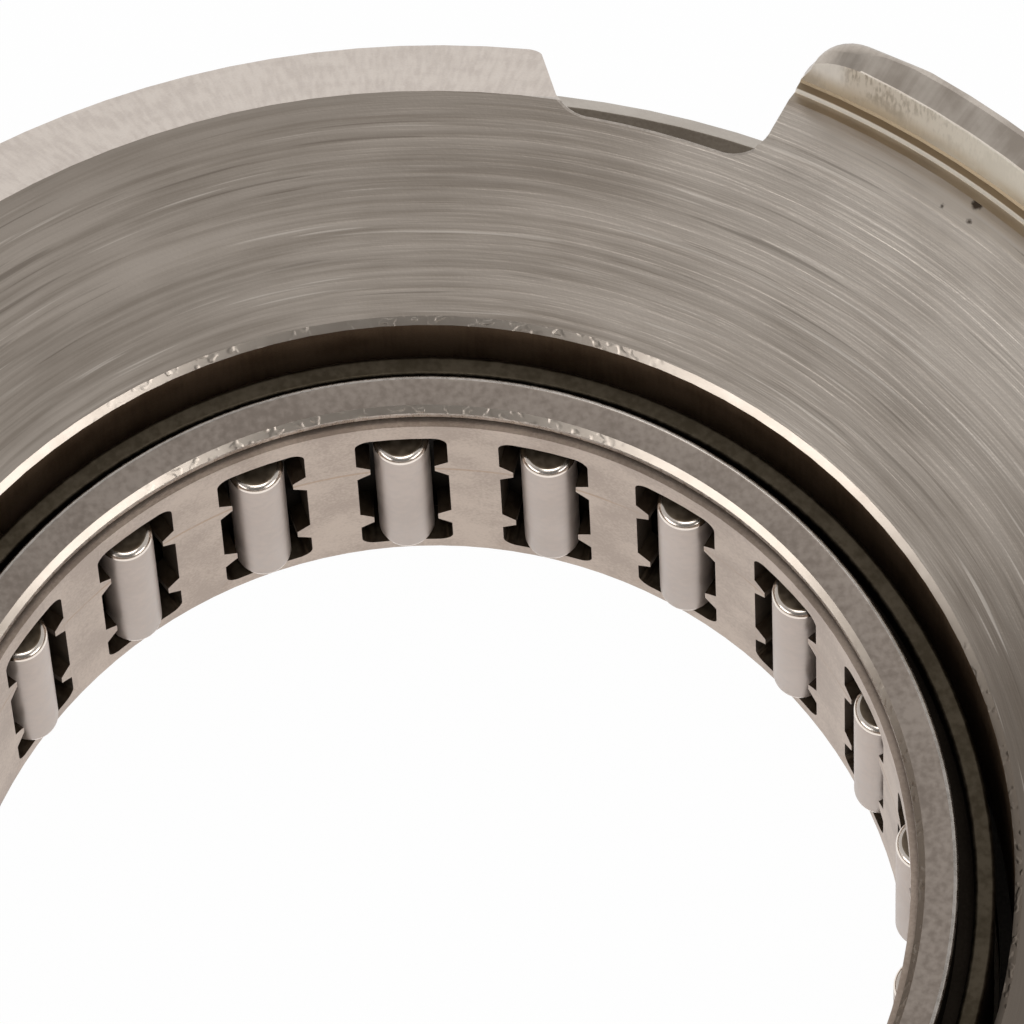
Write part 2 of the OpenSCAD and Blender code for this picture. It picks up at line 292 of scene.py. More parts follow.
# %% Group: lathe lines
def lines_noise(tree, radius, turn, per_mm, drift, detail):
    """Noise that is fine across the radius and slow round the axis."""
    across = maths(tree, "MULTIPLY", radius, per_mm)
    along = step(tree, "ShaderNodeVectorMath", {0: turn, "Scale": drift}, operation="SCALE")
    joined = step(tree, "ShaderNodeVectorMath", {
        0: along.outputs[0],
        1: step(tree, "ShaderNodeCombineXYZ", {"Z": across}).outputs[0]}, operation="ADD")
    noise = step(tree, "ShaderNodeTexNoise",
                 {"Vector": joined.outputs[0], "Scale": 1.0, "Detail": detail,
                  "Roughness": 0.55}, noise_dimensions="3D")
    return noise.outputs["Fac"]


sway_scale, fine_share = 3.2, 0.65
scratch_from, scratch_full, cut_from, cut_full = 0.65, 0.74, 0.34, 0.26
lathe_group, given, result = new_group(
    "lathe lines",
    [("Radius mm", FLOAT, 0.0), ("Round", VECTOR, None), ("Wander mm", FLOAT, 0.25)],
    [("Lines", FLOAT), ("Bands", FLOAT), ("Scratches", FLOAT), ("Cuts", FLOAT)])
turn = given.outputs["Round"]
sway_noise = step(lathe_group, "ShaderNodeTexNoise",
                  {"Vector": turn, "Scale": sway_scale, "Detail": 2.0}).outputs["Fac"]
sway = maths(lathe_group, "MULTIPLY", maths(lathe_group, "SUBTRACT", sway_noise, 0.5),
             given.outputs["Wander mm"])
radius = maths(lathe_group, "ADD", given.outputs["Radius mm"], sway)
fine = lines_noise(lathe_group, radius, turn, per_mm=2.9, drift=3.4, detail=3.0)
middle = lines_noise(lathe_group, radius, turn, per_mm=1.3, drift=2.2, detail=2.0)
broad = lines_noise(lathe_group, radius, turn, per_mm=0.42, drift=1.4, detail=1.0)
arcs = lines_noise(lathe_group, radius, turn, per_mm=3.8, drift=3.2, detail=1.0)
for title, value in (("Lines", weigh(lathe_group, fine, middle, fine_share)), ("Bands", broad),
                     ("Scratches", remap(lathe_group, arcs, scratch_from, scratch_full)),
                     ("Cuts", remap(lathe_group, arcs, cut_from, cut_full))):
    lathe_group.links.new(value, result.inputs[title])
print("group:", lathe_group.name)

# %% Group: streaks along the axis
streak_group, given, result = new_group(
    "streaks along the axis",
    [("Round", VECTOR, None), ("Height mm", FLOAT, 0.0), ("Per turn", FLOAT, 150.0),
     ("Per mm", FLOAT, 0.3)], [("Streaks", FLOAT)])
spread = step(streak_group, "ShaderNodeVectorMath", {
    0: given.outputs["Round"], "Scale": given.outputs["Per turn"]}, operation="SCALE").outputs[0]
lift = step(streak_group, "ShaderNodeCombineXYZ", {"Z": maths(
    streak_group, "MULTIPLY", given.outputs["Height mm"], given.outputs["Per mm"])}).outputs[0]
joined = step(streak_group, "ShaderNodeVectorMath", {0: spread, 1: lift}, operation="ADD")
streak_noise = step(streak_group, "ShaderNodeTexNoise",
                    {"Vector": joined.outputs[0], "Scale": 1.0, "Detail": 2.0})
streak_group.links.new(streak_noise.outputs["Fac"], result.inputs["Streaks"])
print("group:", streak_group.name)

# %% Group: fine grain and soft patches
grain_group, given, result = new_group(
    "grain and patches",
    [("Place", VECTOR, None), ("Grain per mm", FLOAT, 6.0), ("Patch mm", FLOAT, 5.0)],
    [("Grain", FLOAT), ("Patches", FLOAT)])
place_mm = step(grain_group, "ShaderNodeVectorMath",
                {0: given.outputs["Place"], "Scale": 1 / MM}, operation="SCALE").outputs[0]
grain = step(grain_group, "ShaderNodeTexNoise",
             {"Vector": place_mm, "Scale": given.outputs["Grain per mm"], "Detail": 2.0})
patch_scale = maths(grain_group, "DIVIDE", 1.0, given.outputs["Patch mm"])
patches = step(grain_group, "ShaderNodeTexNoise",
               {"Vector": place_mm, "Scale": patch_scale, "Detail": 3.0})
grain_group.links.new(grain.outputs["Fac"], result.inputs["Grain"])
grain_group.links.new(patches.outputs["Fac"], result.inputs["Patches"])
print("group:", grain_group.name)

# %% [markdown]
# ## Starting a finish
# Each finish is steel: a warm grey with its own roughness, and metallic unless
# it is meant to look matt. One helper makes the material with its shader and
# the point's place, short ones put the groups in it, and the cells below only
# say what is special about each surface.

# %% A helper for steel finishes
def steel(name, roughness, metallic=1.0):
    """A steel material: its tree, its shader, the point's place and the axis group's outputs."""
    made = bpy.data.materials.new(name)
    made.use_nodes = True
    tree = made.node_tree
    tree.nodes.clear()
    shader = step(tree, "ShaderNodeBsdfPrincipled",
                  {"Metallic": metallic, "Roughness": roughness})
    step(tree, "ShaderNodeOutputMaterial", {"Surface": shader.outputs[0]})
    place = step(tree, "ShaderNodeTexCoord").outputs["Object"]
    axis = step(tree, "ShaderNodeGroup", {"Place": place}, node_tree=axis_group)
    return made, tree, shader, place, axis.outputs


def bump(tree, shader, height, depth_mm):
    """Turns a height from 0 to 1 into small dents of that depth."""
    made = step(tree, "ShaderNodeBump", {"Height": height, "Distance": depth_mm * MM})
    tree.links.new(made.outputs[0], shader.inputs["Normal"])


print("steel helper ready")

# %% Helpers that put a group in a finish
def grains(tree, place, per_mm, patch_mm):
    """The grain group in a material, and its outputs."""
    return step(tree, "ShaderNodeGroup", {
        "Place": place, "Grain per mm": per_mm, "Patch mm": patch_mm},
        node_tree=grain_group).outputs


def lathe(tree, axis, wander_mm):
    """The lathe lines group in a material, and its outputs."""
    return step(tree, "ShaderNodeGroup", {
        "Radius mm": axis["Radius mm"], "Round": axis["Round"], "Wander mm": wander_mm},
        node_tree=lathe_group).outputs


def streaks(tree, axis, per_turn, per_mm):
    """The streak group in a material, and its noise."""
    return step(tree, "ShaderNodeGroup", {
        "Round": axis["Round"], "Height mm": axis["Height mm"], "Per turn": per_turn,
        "Per mm": per_mm}, node_tree=streak_group).outputs["Streaks"]


def facing(tree, axis, degrees, near, full):
    """1 within full degrees of an angle round the axis, and 0 beyond near degrees."""
    spot = math.radians(degrees)
    return step(tree, "ShaderNodeGroup", {
        "Round": axis["Round"], "Towards": (math.cos(spot), math.sin(spot), 0),
        "Fades from": math.cos(math.radians(near)), "Full at": math.cos(math.radians(full))},
        node_tree=side_group).outputs["Share"]


print("group helpers ready")

# %% [markdown]
# ## The turned face
# The big ring face was cut on a lathe: fine lines nearly follow the circle,
# with a slow waver, darker and lighter bands, and a few bright scratches. By
# the lip the steel is stained brown by heat, and there is one small pit with
# two specks beside it. A picture of such a face could be laid on it, but
# noise that follows the radius stays sharp from any distance.

# %% Finish: turned face, the lines that the tool left
noise_low, noise_high = 0.36, 0.64
line_share, tone_share, face_grain = 0.75, 0.62, 0.12
groove_rough, ridge_rough = 0.42, 0.3
turned_face, tree, shader, place, axis = steel("turned_face", groove_rough)
cut = lathe(tree, axis, wander_mm=0.3)
soft = grains(tree, place, per_mm=5.0, patch_mm=5.0)
tone = remap(tree, weigh(tree, cut["Lines"], cut["Bands"], line_share), noise_low, noise_high)
tone = weigh(tree, tone, soft["Patches"], tone_share)
colour = blend_colour(tree, tone, srgb(139, 128, 117), srgb(208, 196, 184))
tree.links.new(remap(tree, cut["Lines"], 0.35, 0.65, groove_rough, ridge_rough),
               shader.inputs["Roughness"])
bump(tree, shader, maths(tree, "ADD", cut["Lines"], maths(
    tree, "MULTIPLY", soft["Grain"], face_grain)), depth_mm=0.06)
print("finish:", turned_face.name)

# %% Finish: turned face, painted sheen and painted shade round the ring
sheen_in_r, sheen_out_r, sheen_inside = 34.0, 45.5, 0.3
rim_from_r, rim_full_r, rim_dark = 41.0, 44.0, 0.34
# Painted sheen: round 47 degrees, and most towards the outer edge, the face is painted lighter.
painted_sheen = maths(tree, "MULTIPLY", facing(tree, axis, 47.0, near=28.0, full=5.0),
              remap(tree, axis["Radius mm"], sheen_in_r, sheen_out_r, sheen_inside, 1.0))
painted_sheen = maths(tree, "MULTIPLY", painted_sheen, remap(tree, soft["Patches"], 0.3, 0.6, 0.7, 1.0))
rim_shade = maths(tree, "MULTIPLY", remap(tree, axis["Radius mm"], rim_from_r, rim_full_r),
                  maths(tree, "SUBTRACT", rim_dark, painted_sheen, clamp=True))
colour = blend_colour(tree, rim_shade, colour, srgb(132, 121, 110))
colour = tint(tree, colour, painted_sheen, 0.62, srgb(224, 214, 203))
# Painted shade: round -10 degrees the face is painted darker.
painted_dusk = facing(tree, axis, -10.0, near=44.0, full=12.0)
colour = tint(tree, colour, painted_dusk, 0.85, srgb(112, 102, 92))
print("sheen and dusk on:", turned_face.name)

# %% Finish: turned face, its scratches, stain and pits
face_top = 20.0
stain_from_r, stain_full_r = 46.9, 47.9
pits = ((31.5, 35.75, 0.34), (31.0, 34.8, 0.14), (29.64, 35.78, 0.12))
pit_ragged, pit_fade, pit_dark = 0.3, 0.22, 0.9
colour = tint(tree, colour, cut["Scratches"], 0.5, srgb(236, 226, 215))
colour = tint(tree, colour, cut["Cuts"], 0.4, srgb(108, 98, 88))
stain = remap(tree, axis["Radius mm"], stain_from_r, stain_full_r)
stain = maths(tree, "MULTIPLY", stain, remap(tree, soft["Patches"], 0.3, 0.6, 0.5, 1.0))
colour = tint(tree, colour, stain, 0.7, srgb(136, 116, 94))
for pit_x, pit_y, pit_r in pits:
    spot = step(tree, "ShaderNodeVectorMath", {
        0: place, 1: (pit_x * MM, pit_y * MM, face_top * MM)}, operation="DISTANCE")
    ragged = maths(tree, "ADD", spot.outputs["Value"],
                   maths(tree, "MULTIPLY", soft["Grain"], pit_ragged * MM))
    mark = remap(tree, ragged, pit_r * MM, (pit_r + pit_fade) * MM, pit_dark, 0.0)
    colour = blend_colour(tree, mark, colour, srgb(44, 32, 22))
tree.links.new(colour, shader.inputs["Base Color"])
print("pits:", len(pits))

# %% [markdown]
# ## The bevel, the land and the plain ground faces
# The bevelled sectors were ground, so fine streaks run up the slope. The lip's flat land is smoother
# and a little darker, and its crest is a painted highlight: near white and hardly metallic. Edges
# that fit no other finish are near white, partly wear and partly painted highlight. One function
# makes them all, because they differ only in colour, gloss and depth.

# %% Finishes: ground faces
ground_grain = 0.4


def ground(name, dark, light, roughness, streak_share, depth_mm, metallic=1.0):
    """Ground steel with streaks along the axis, and soft patches."""
    made, tree, shader, place, axis = steel(name, roughness, metallic)
    soft = grains(tree, place, per_mm=7.0, patch_mm=3.0)
    streak = streaks(tree, axis, per_turn=150.0, per_mm=0.3)
    tone = weigh(tree, streak, soft["Patches"], streak_share)
    colour = blend_colour(tree, remap(tree, tone, noise_low, 0.62), dark, light)
    tree.links.new(colour, shader.inputs["Base Color"])
    tree.links.new(remap(tree, soft["Grain"], 0.3, 0.7, roughness - 0.05, roughness + 0.06),
                   shader.inputs["Roughness"])
    bump(tree, shader, maths(tree, "ADD", streak, maths(
        tree, "MULTIPLY", soft["Grain"], ground_grain)), depth_mm)
    print("finish:", name)
    return made


bevel_face = ground("bevel_face", srgb(192, 179, 168), srgb(206, 194, 183),
                    roughness=0.42, streak_share=0.6, depth_mm=0.006)
lip_land = ground("lip_land", srgb(166, 155, 144), srgb(196, 186, 175),
                  roughness=0.4, streak_share=0.2, depth_mm=0.008)
ground_steel = ground("ground_steel", srgb(168, 158, 148), srgb(192, 182, 172),
                      roughness=0.38, streak_share=0.5, depth_mm=0.008)
# Painted highlight, partly wear: a near-white steel for edges that fit no other finish.
wear_and_highlight_edge = ground("wear_and_highlight_edge", srgb(222, 214, 206), srgb(244, 238, 231),
                   roughness=0.34, streak_share=0.3, depth_mm=0.002)
bore_wall = ground("bore_wall", srgb(92, 71, 52), srgb(112, 90, 70),
                   roughness=0.5, streak_share=0.3, depth_mm=0.003, metallic=0.2)
# Painted highlight: the lip's crest is near white and hardly metallic.
lip_crest_highlight = ground("lip_crest_highlight", srgb(240, 226, 210), srgb(252, 241, 228),
                   roughness=0.45, streak_share=0.3, depth_mm=0.002, metallic=0.1)

# %% [markdown]
# ## Edge breaks at the bores
# The small chamfers at the bores were cut quickly. They look smooth and bright where they show a soft
# box, on the left and the right, and dull and speckled where they show none. A bump that only acts on
# the dull sides gives both. Round -4 degrees the chamfer is also painted darker, as painted shade.

# %% Finish: edge break
speck_per_m, speck_from, speck_full = 2300.0, 0.54, 0.78
edge_break, tree, shader, place, axis = steel("edge_break", 0.32)
soft = grains(tree, place, per_mm=2.6, patch_mm=1.2)
shadow_side = facing(tree, axis, -4.0, near=34.0, full=12.0)
colour = blend_colour(tree, soft["Patches"], srgb(190, 177, 164), srgb(224, 212, 199))
# Painted shade: round -4 degrees the chamfer is painted darker.
colour = tint(tree, colour, shadow_side, 0.85, srgb(116, 105, 94))
tree.links.new(colour, shader.inputs["Base Color"])
speck = step(tree, "ShaderNodeTexNoise",
             {"Vector": place, "Scale": speck_per_m, "Detail": 0.0}).outputs["Fac"]
dull = maths(tree, "MAXIMUM", facing(tree, axis, 92.0, near=34.0, full=16.0), shadow_side)
bump(tree, shader, maths(tree, "MULTIPLY", dull, remap(tree, speck, speck_from, speck_full)),
     depth_mm=0.02)
print("finish:", edge_break.name)

# %% [markdown]
# ## The tinted lip
# The lip's inner wall carries a straw heat tint, with fine tool marks along the axis and brown at its
# foot. Where it faces the light, and at the ends of the lugs, it is painted brighter as a painted
# highlight. The tint hides the metal's mirror, so this wall isn't metallic. The lugs repeat round the
# ring, so their ends are found with a cosine of the angle, once for all of them.

# %% Finish: straw wall, its tint and tool marks
hatch_foot, hatch_full, hatch_least = 0.8, 3.2, 0.25
straw_wall, tree, shader, place, axis = steel("straw_wall", 0.5, 0.0)
soft = grains(tree, place, per_mm=5.0, patch_mm=2.4)
hatch = streaks(tree, axis, per_turn=300.0, per_mm=1.1)
upper = remap(tree, axis["Height mm"], face_top + hatch_foot, face_top + hatch_full,
              hatch_least, 1.0)
tone = maths(tree, "ADD", maths(tree, "MULTIPLY", upper, maths(
    tree, "SUBTRACT", hatch, 0.5)), soft["Patches"])
colour = blend_colour(tree, remap(tree, tone, noise_low, 0.66),
                      srgb(186, 172, 153), srgb(230, 218, 201))
# Painted highlight: round 38 degrees, where it faces the light, the wall is painted near white.
colour = tint(tree, colour, facing(tree, axis, 38.0, near=20.0, full=6.0), 0.9,
              srgb(255, 247, 231))
print("finish:", straw_wall.name)

# %% Finish: straw wall, a painted highlight at its lug ends, and its foot
lug_count, lug_middle, lug_half = 3, 40.2, 22.0
lug_end_from, lug_end_full = 3.2, 2.0
end_foot, end_full, end_least = 0.6, 2.4, 0.2
foot_tall = 2.2
way = step(tree, "ShaderNodeSeparateXYZ", {0: axis["Round"]})
round_angle = maths(tree, "ARCTAN2", way.outputs["Y"], way.outputs["X"])
lug_way = maths(tree, "COSINE", maths(tree, "MULTIPLY", lug_count, maths(
    tree, "SUBTRACT", round_angle, math.radians(lug_middle))))
lug_end_highlight = remap(tree, lug_way, math.cos(math.radians(lug_count * (lug_half - lug_end_from))),
                math.cos(math.radians(lug_count * (lug_half - lug_end_full))))
lug_end_highlight = maths(tree, "MULTIPLY", lug_end_highlight, remap(
    tree, axis["Height mm"], face_top + end_foot, face_top + end_full, end_least, 1.0))
# Painted highlight: the lug ends are painted near white.
colour = tint(tree, colour, lug_end_highlight, 0.85, srgb(255, 247, 236))
foot = remap(tree, axis["Height mm"], face_top, face_top + foot_tall, 1.0, 0.0)
foot = maths(tree, "MULTIPLY", foot, remap(tree, soft["Patches"], 0.3, 0.65, 0.3, 1.0))
colour = tint(tree, colour, foot, 0.6, srgb(190, 164, 122))
tree.links.new(colour, shader.inputs["Base Color"])
strokes = maths(tree, "MULTIPLY", upper, maths(tree, "SUBTRACT", 1.0, lug_end_highlight))
bump(tree, shader, maths(tree, "MULTIPLY", hatch, strokes), depth_mm=0.015)
print("lug ends on:", straw_wall.name)

# %% Finish: the groove at the lip's foot, with a painted highlight on its crest
root_light_r, root_dark_r = 48.45, 48.62
crest_r, crest_half, crest_matt = 48.48, 0.1, 0.9
lip_root, tree, shader, place, axis = steel("lip_root", 0.38)
soft = grains(tree, place, per_mm=5.0, patch_mm=2.0)
brown = blend_colour(tree, soft["Patches"], srgb(158, 146, 131), srgb(184, 172, 157))
shade = remap(tree, axis["Radius mm"], root_light_r, root_dark_r)
brown = blend_colour(tree, shade, brown, srgb(150, 133, 110))
# Painted highlight: a near-white, hardly metallic line along the groove's crest.
offset = maths(tree, "ABSOLUTE", maths(tree, "SUBTRACT", axis["Radius mm"], crest_r))
crest = remap(tree, offset, crest_half * 0.5, crest_half * 1.3, 1.0, 0.0)
tree.links.new(blend_colour(tree, crest, brown, srgb(255, 246, 232)), shader.inputs["Base Color"])
tree.links.new(maths(tree, "SUBTRACT", 1.0, maths(tree, "MULTIPLY", crest, crest_matt)),
               shader.inputs["Metallic"])
bump(tree, shader, soft["Grain"], depth_mm=0.01)
print("finish:", lip_root.name)

# %% [markdown]
# ## The drawn cup, the collar and the cages
# The cup's lip is a smooth satin grey. The collar's end sits low between two bright rings; it is
# painted dark and dull as shade, and the slot beside it is painted near black as shadow. The race's
# top, seen through the notches, is painted darker as shade. The cage is matt and warm, with a faint
# crease across each bar where the sheet was formed, dented and painted darker as shade along it. None
# of these has marks in one direction, so grain and patches are enough.

# %% Finishes: cup, collar and roller cage
def matt_steel(name, dark, light, roughness, per_mm, patch_mm, depth_mm=0.0, metallic=1.0):
    """Matt steel: fine grain and soft patches, no direction."""
    made, tree, shader, place, _ = steel(name, roughness, metallic)
    soft = grains(tree, place, per_mm, patch_mm)
    tone = weigh(tree, soft["Grain"], soft["Patches"], 0.5)
    tree.links.new(blend_colour(tree, remap(tree, tone, noise_low, noise_high), dark, light),
                   shader.inputs["Base Color"])
    tree.links.new(remap(tree, soft["Grain"], 0.3, 0.7, roughness - 0.05, roughness + 0.05),
                   shader.inputs["Roughness"])
    if depth_mm > 0:
        bump(tree, shader, soft["Grain"], depth_mm)
    print("finish:", name)
    return made


cup_lip = matt_steel("cup_lip", srgb(148, 136, 126), srgb(168, 156, 146),
                     roughness=0.4, per_mm=2.6, patch_mm=3.0, depth_mm=0.004)
cup_round = matt_steel("cup_round", srgb(176, 168, 160), srgb(206, 198, 190),
                       roughness=0.3, per_mm=3.0, patch_mm=3.0)
# Painted shade: the collar's end is painted dark for the shade it sits in.
collar_end_shade = matt_steel("collar_end_shade", srgb(70, 62, 50), srgb(90, 81, 68),
                        roughness=0.46, per_mm=2.6, patch_mm=2.0, depth_mm=0.003)
# Painted shade: the race's top under the plate is painted darker.
race_top_shade = matt_steel("race_top_shade", srgb(112, 102, 91), srgb(128, 118, 106),
                      roughness=0.46, per_mm=5.0, patch_mm=4.0)
# Painted shadow: the deep slot is painted near black.
slot_shadow = matt_steel("slot_shadow", srgb(34, 29, 24), srgb(46, 40, 34),
                       roughness=0.55, per_mm=6.0, patch_mm=4.0)
pocket_wall = matt_steel("pocket_wall", srgb(66, 56, 46), srgb(82, 72, 60),
                         roughness=0.55, per_mm=3.0, patch_mm=3.0)
pressed_steel = matt_steel("pressed_steel", srgb(58, 54, 50), srgb(76, 71, 66),
                           roughness=0.5, per_mm=6.0, patch_mm=5.0, depth_mm=0.008)

# %% Finish: needle cage, with a crease across each bar, dented and painted darker as shade
crease_height, crease_full, crease_fade = 12.65, 0.05, 0.2
cage_grain_share, cage_grain = 0.4, 0.2
cage_face, tree, shader, place, axis = steel("cage_face", 0.44)
soft = grains(tree, place, per_mm=6.0, patch_mm=3.0)
tone = weigh(tree, soft["Grain"], soft["Patches"], cage_grain_share)
colour = blend_colour(tree, remap(tree, tone, noise_low, noise_high),
                      srgb(168, 151, 138), srgb(190, 173, 159))
# Painted shade: along the crease the cage is painted darker, and the bump dents it.
offset = maths(tree, "ABSOLUTE", maths(tree, "SUBTRACT", axis["Height mm"], crease_height))
crease_dent_and_shade = remap(tree, offset, crease_full, crease_fade, 1.0, 0.0)
crease_dent_and_shade = maths(tree, "MULTIPLY", crease_dent_and_shade, remap(tree, soft["Patches"], 0.35, 0.6, 0.15, 0.6))
colour = blend_colour(tree, crease_dent_and_shade, colour, srgb(166, 138, 112))
tree.links.new(colour, shader.inputs["Base Color"])
bump(tree, shader, maths(tree, "SUBTRACT", maths(
    tree, "MULTIPLY", soft["Grain"], cage_grain), crease_dent_and_shade), depth_mm=0.03)
print("finish:", cage_face.name)

# %% Finishes: ground rollers and needles, and the race's rim
roller_face = matt_steel("roller_face", srgb(203, 187, 176), srgb(213, 197, 186),
                         roughness=0.4, per_mm=2.0, patch_mm=4.0, metallic=0.45)
# Painted highlight: the rounded ends get a near-white, glossy steel.
roller_round_highlight = matt_steel("roller_round_highlight", srgb(236, 224, 212), srgb(244, 233, 222),
                          roughness=0.2, per_mm=2.0, patch_mm=4.0)
# Painted dark reflection: the flat end faces get a darker steel.
roller_end_dark_reflection = matt_steel("roller_end_dark_reflection", srgb(126, 110, 92), srgb(146, 131, 113),
                        roughness=0.4, per_mm=2.0, patch_mm=2.0)
rim_steel = matt_steel("rim_steel", srgb(178, 169, 159), srgb(194, 186, 176),
                       roughness=0.45, per_mm=3.0, patch_mm=4.0)

# %% [markdown]
# ## Pieces with broken edges
# No real edge is sharp, and a broken edge is where metal catches light. The
# CAD solids have the right shapes, so each large piece starts as a copy of its
# solid: merged, its flat faces joined, shaped further where it needs it, and
# its sharp edges bevelled where a width is given. Faces with many corners
# shade badly, so they are split into triangles, and the normals are weighted
# so that the flats stay flat.

# %% Helpers: select a piece, apply its modifiers
weld_mm = 0.002


def only(piece):
    """Selects one object and makes it active."""
    bpy.ops.object.select_all(action="DESELECT")
    piece.select_set(True)
    bpy.context.view_layer.objects.active = piece


def apply_all(piece):
    """Applies every modifier of a piece, first to last."""
    only(piece)
    for modifier in list(piece.modifiers):
        bpy.ops.object.modifier_apply(modifier=modifier.name)


print("selection helpers ready")

# %% A helper for clean shading
def clean_shading(piece, smooth_to):
    """Merges slivers, splits large faces and weights the normals, smooth up to an angle."""
    only(piece)
    bpy.ops.object.mode_set(mode="EDIT")
    bpy.ops.mesh.select_mode(type="FACE")
    bpy.ops.mesh.select_all(action="SELECT")
    bpy.ops.mesh.remove_doubles(threshold=2 * weld_mm * MM)
    bpy.ops.mesh.dissolve_degenerate(threshold=weld_mm * MM)
    bpy.ops.mesh.select_all(action="DESELECT")
    bpy.ops.mesh.select_face_by_sides(number=4, type="GREATER", extend=False)
    bpy.ops.mesh.quads_convert_to_tris(ngon_method="BEAUTY")
    bpy.ops.object.mode_set(mode="OBJECT")
    bpy.ops.object.shade_smooth_by_angle(angle=math.radians(smooth_to))
    normals = piece.modifiers.new("normals", "WEIGHTED_NORMAL")
    normals.keep_sharp = True
    apply_all(piece)


print("shading helper ready")

# %% A helper for softened copies
def softened(node, name, width_mm=0.0, shape=None, smooth_to=40):
    """A copy of a CAD solid, shaped if asked, its sharp edges broken if a width is given."""
    piece = bpy.data.objects.new(name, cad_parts[node].data.copy())
    scene.collection.objects.link(piece)
    only(piece)
    bpy.ops.mesh.customdata_custom_splitnormals_clear()
    bpy.ops.object.mode_set(mode="EDIT")
    bpy.ops.mesh.select_all(action="SELECT")
    bpy.ops.mesh.remove_doubles(threshold=weld_mm * MM)
    bpy.ops.mesh.dissolve_limited(angle_limit=math.radians(0.3))
    bpy.ops.object.mode_set(mode="OBJECT")
    if shape:
        shape(piece)
    if width_mm > 0:
        edges = piece.modifiers.new("edges", "BEVEL")
        edges.width = width_mm * MM
        edges.segments = 2
        edges.limit_method = "ANGLE"
        edges.angle_limit = math.radians(25)
        edges.miter_outer = "MITER_ARC"
        apply_all(piece)
    clean_shading(piece, smooth_to)
    print("piece %s: %d faces" % (name, len(piece.data.polygons)))
    return piece


print("softening helper ready")

# %% A helper for finishes, face by face
def dress(piece, finishes, choose):
    """Gives each face of a piece the finish that choose(radius, height, up, out) names."""
    piece.data.materials.clear()
    order = list(finishes)
    for finish in order:
        piece.data.materials.append(finishes[finish])
    for face in piece.data.polygons:
        middle = face.center / MM
        out = Vector((middle.x, middle.y, 0)).normalized().dot(face.normal)
        corners = [piece.data.vertices[i].co.xy.length / MM for i in face.vertices]
        spot = sum(corners) / len(corners)
        face.material_index = order.index(choose(spot, middle.z, face.normal.z, out))
    print("dressed %s: %s" % (piece.name, ", ".join(order)))


print("dressing helper ready")

# %% [markdown]
# ## The thrust plate
# One turned ring with notches, bevelled sectors and lugs. The CAD cuts each
# lip's end back with flat faces, but the real end is a round nose, as a
# grinder leaves it. A bevel would be stopped by the small faces there, so the
# nose is cut with a boolean: what lies past a lug's end is walked as an outline
# from above, its corner is rounded, and it is extruded level by level over the
# nose.

# %% Helpers: walk an outline and round its corners
def walk(name, points):
    """A line through points in mm, drawn from one vertex by extruding; left in edit mode."""
    bpy.ops.object.select_all(action="DESELECT")
    bpy.ops.mesh.primitive_plane_add(size=MM)
    line = bpy.context.object
    line.name = name
    bpy.ops.object.mode_set(mode="EDIT")
    bpy.ops.mesh.select_mode(type="VERT")
    bpy.ops.mesh.select_all(action="SELECT")
    bpy.ops.mesh.merge(type="CENTER")
    bpy.ops.transform.translate(value=points[0] * MM)
    for start, end in zip(points, points[1:]):
        bpy.ops.mesh.extrude_region_move(TRANSFORM_OT_translate={"value": (end - start) * MM})
    bpy.ops.mesh.select_all(action="SELECT")
    bpy.ops.mesh.remove_doubles(threshold=weld_mm * MM)
    return line


def round_corner(line, point, width_mm, segments):
    """Rounds the corner of a walked line that lies at a point in mm."""
    bpy.ops.mesh.select_all(action="DESELECT")
    bpy.ops.object.mode_set(mode="OBJECT")
    for vertex in line.data.vertices:
        vertex.select = (vertex.co - point * MM).length < 0.01 * MM
    bpy.ops.object.mode_set(mode="EDIT")
    bpy.ops.mesh.bevel(offset=width_mm * MM, segments=segments, affect="VERTICES")
    bpy.ops.mesh.select_all(action="SELECT")


print("outline helpers ready")

# %% Plate: the levels of a lug's end, from its foot up over the nose
lug_lean, end_slope = math.radians(12.3), math.radians(72)
end_low, end_tall = 0.1, 4.7
nose_from, nose_tall, nose_deep, nose_in = 1.8, 2.35, 3.0, 0.9
nose_turn, nose_steps = math.radians(80), 9


def nose_levels(inward, out):
    """Where a lug end's outline moves to, level by level, from the face upwards."""
    lean = inward / math.tan(end_slope) + Vector((0, 0, 1))
    levels = [-lean * end_low]
    for k in range(nose_steps + 1):
        turn = nose_turn * k / nose_steps
        levels.append(lean * nose_from + Vector((0, 0, nose_tall * math.sin(turn)))
                      + (inward * nose_deep - out * nose_in) * (1 - math.cos(turn)))
    levels.append(levels[-1] + Vector((0, 0, end_tall - nose_from - nose_tall)))
    return levels


print("nose: %.2f mm tall from %.2f mm above the face" % (nose_tall, nose_from))

# %% Plate: a cutter for what lies past a lug's end
notch_r, notch_half, rim_r = 43.7, 5.46, 51.3
waste, end_corner, corner_segments = 5.0, 1.8, 8


